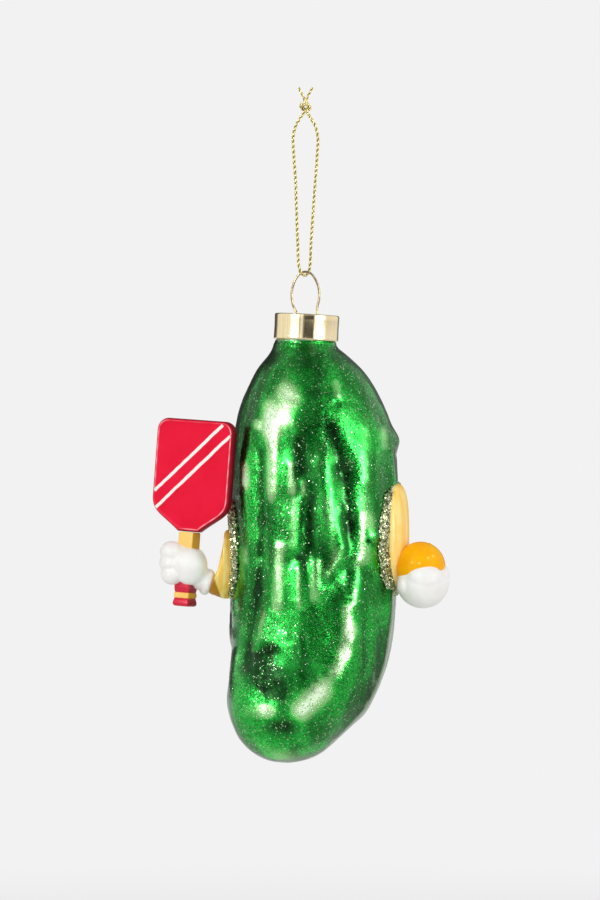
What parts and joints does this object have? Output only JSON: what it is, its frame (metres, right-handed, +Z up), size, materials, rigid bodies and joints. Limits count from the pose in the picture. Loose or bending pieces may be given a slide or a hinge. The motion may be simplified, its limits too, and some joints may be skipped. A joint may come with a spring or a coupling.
{
  "type": "pickle ornament",
  "caption": "Hanging blown-glass pickle ornament with a metal cap, wire eye and cord loop, two arms, gloves, a paddle and a ball.",
  "frame": {"origin": "hang point: the inside top of the cord loop, where a hook or branch carries the ornament", "axes": "+Z up, +X to the right as seen from the pictured side, the picture looks along +Y"},
  "size_m": [0.0769, 0.0416, 0.1755],
  "materials": {
    "gold_cord": "twisted metallic cord",
    "gold_wire": "drawn, plated",
    "gold_cap": "bright pale gold plate",
    "green_glass": "silvered inside, green lacquer with fine glitter",
    "yellow_enamel": "gloss hand paint",
    "white_enamel": "satin hand paint",
    "glitter": "coarse glitter in clear glue",
    "orange_enamel": "satin hand paint",
    "red_enamel": "gloss hand paint with two off-white stripes on the blade",
    "handle_yellow": "gloss hand paint"
  },
  "bodies": {
    "hanger": {"cord_knot": "gold_cord", "hang_cord": "gold_cord"},
    "eye": {"wire_eye": "gold_wire"},
    "cap": {"cap": "gold_cap"},
    "pickle": {"glass_body": "green_glass", "right_arm": "yellow_enamel", "left_arm": "yellow_enamel", "right_glitter_bead": "glitter", "left_glitter_bead": "glitter", "right_glove": "white_enamel", "left_glove": "white_enamel", "ball": "orange_enamel", "paddle_blade": "red_enamel", "paddle_handle": "handle_yellow", "paddle_grip": "red_enamel", "grip_band": "handle_yellow"}
  },
  "joints": [
    {"name": "cord_swing", "type": "hinge", "parent": "hanger", "child": "eye", "pos_m": [0, 0, -0.04155], "axis": [1, 0, 0], "range_deg": [-90, 90]},
    {"name": "eye_rock", "type": "hinge", "parent": "eye", "child": "cap", "pos_m": [0.00045, 0, -0.0529], "axis": [0.9986, 0, -0.0523], "range_deg": [-6, 6]},
    {"name": "cap_off", "type": "slide", "parent": "cap", "child": "pickle", "axis": [-0.0523, 0, -0.9986], "range_m": [0, 0.02]}
  ]
}
